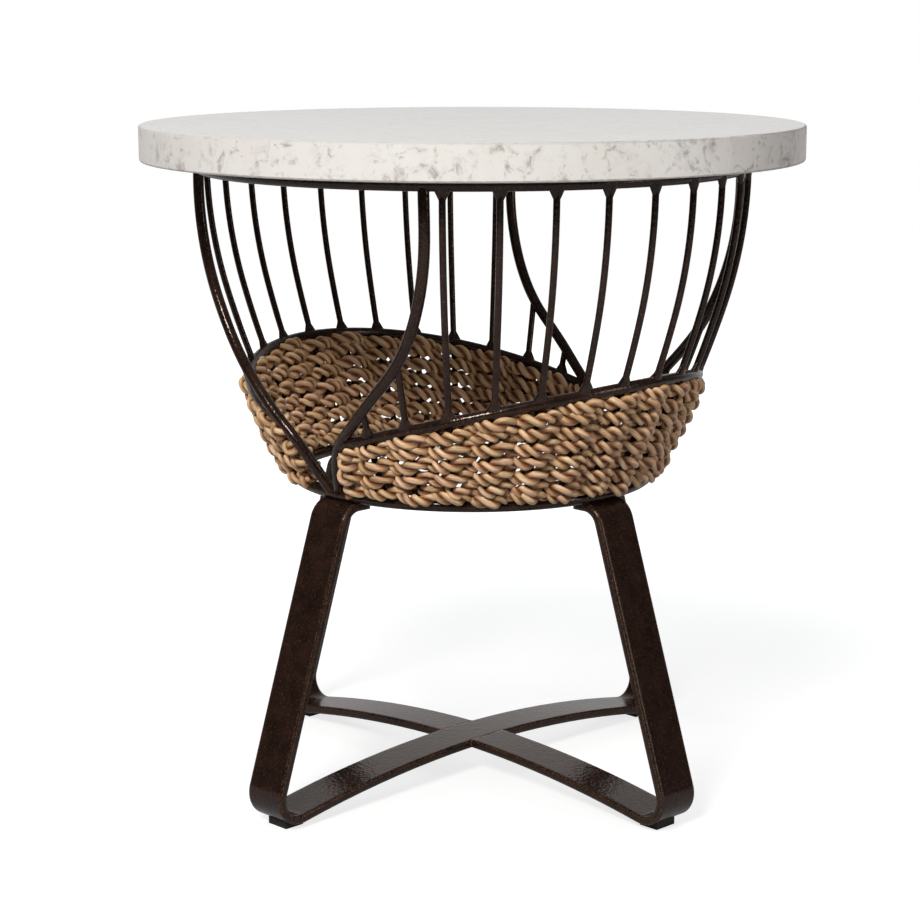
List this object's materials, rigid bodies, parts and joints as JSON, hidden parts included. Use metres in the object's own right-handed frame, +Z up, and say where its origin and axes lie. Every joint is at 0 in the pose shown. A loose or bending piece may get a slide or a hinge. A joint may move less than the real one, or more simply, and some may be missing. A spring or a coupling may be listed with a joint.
{
  "type": "round side table",
  "caption": "Round stone-topped side table on a bowl-shaped steel rod cage with woven rope panels, standing on splayed flat-bar legs joined by an arched cross.",
  "frame": {"origin": "on the floor under the middle of the top", "axes": "+Z up; the two open mouths of the cage face -Y and +Y, the woven panels face -X and +X, and a leg stands on each of these four axes"},
  "size_m": [0.6099, 0.61, 0.618],
  "materials": {
    "stone": "polished, faint crackle",
    "bronze_paint": "dark bronze hammered paint, semi-gloss",
    "seagrass": "twisted natural fibre cord",
    "pad_rubber": "matt black",
    "screw_steel": "zinc plated",
    "insert_brass": "turned"
  },
  "bodies": {
    "root": {"bottom_ring": "bronze_paint", "fixing_screws": "screw_steel", "fixing_tabs": "bronze_paint", "foot_pad_back": "pad_rubber", "foot_pad_front": "pad_rubber", "foot_pad_left": "pad_rubber", "foot_pad_right": "pad_rubber", "leg_bar_left": "bronze_paint", "leg_bar_right": "bronze_paint", "leg_bar_through": "bronze_paint", "mouth_rod_back_a": "bronze_paint", "mouth_rod_back_b": "bronze_paint", "mouth_rod_front_a": "bronze_paint", "mouth_rod_front_b": "bronze_paint", "rim_rod_left": "bronze_paint", "rim_rod_right": "bronze_paint", "spindle_left_01": "bronze_paint", "spindle_left_02": "bronze_paint", "spindle_left_03": "bronze_paint", "spindle_left_04": "bronze_paint", "spindle_left_05": "bronze_paint", "spindle_left_06": "bronze_paint", "spindle_left_07": "bronze_paint", "spindle_left_08": "bronze_paint", "spindle_left_09": "bronze_paint", "spindle_left_10": "bronze_paint", "spindle_left_11": "bronze_paint", "spindle_left_12": "bronze_paint", "spindle_left_13": "bronze_paint", "spindle_left_14": "bronze_paint", "spindle_right_01": "bronze_paint", "spindle_right_02": "bronze_paint", "spindle_right_03": "bronze_paint", "spindle_right_04": "bronze_paint", "spindle_right_05": "bronze_paint", "spindle_right_06": "bronze_paint", "spindle_right_07": "bronze_paint", "spindle_right_08": "bronze_paint", "spindle_right_09": "bronze_paint", "spindle_right_10": "bronze_paint", "spindle_right_11": "bronze_paint", "spindle_right_12": "bronze_paint", "spindle_right_13": "bronze_paint", "spindle_right_14": "bronze_paint", "stone_top": "stone", "threaded_inserts": "insert_brass", "top_ring": "bronze_paint", "weave_stakes_left": "bronze_paint", "weave_stakes_right": "bronze_paint", "woven_panel_left": "seagrass", "woven_panel_right": "seagrass"}
  },
  "joints": []
}
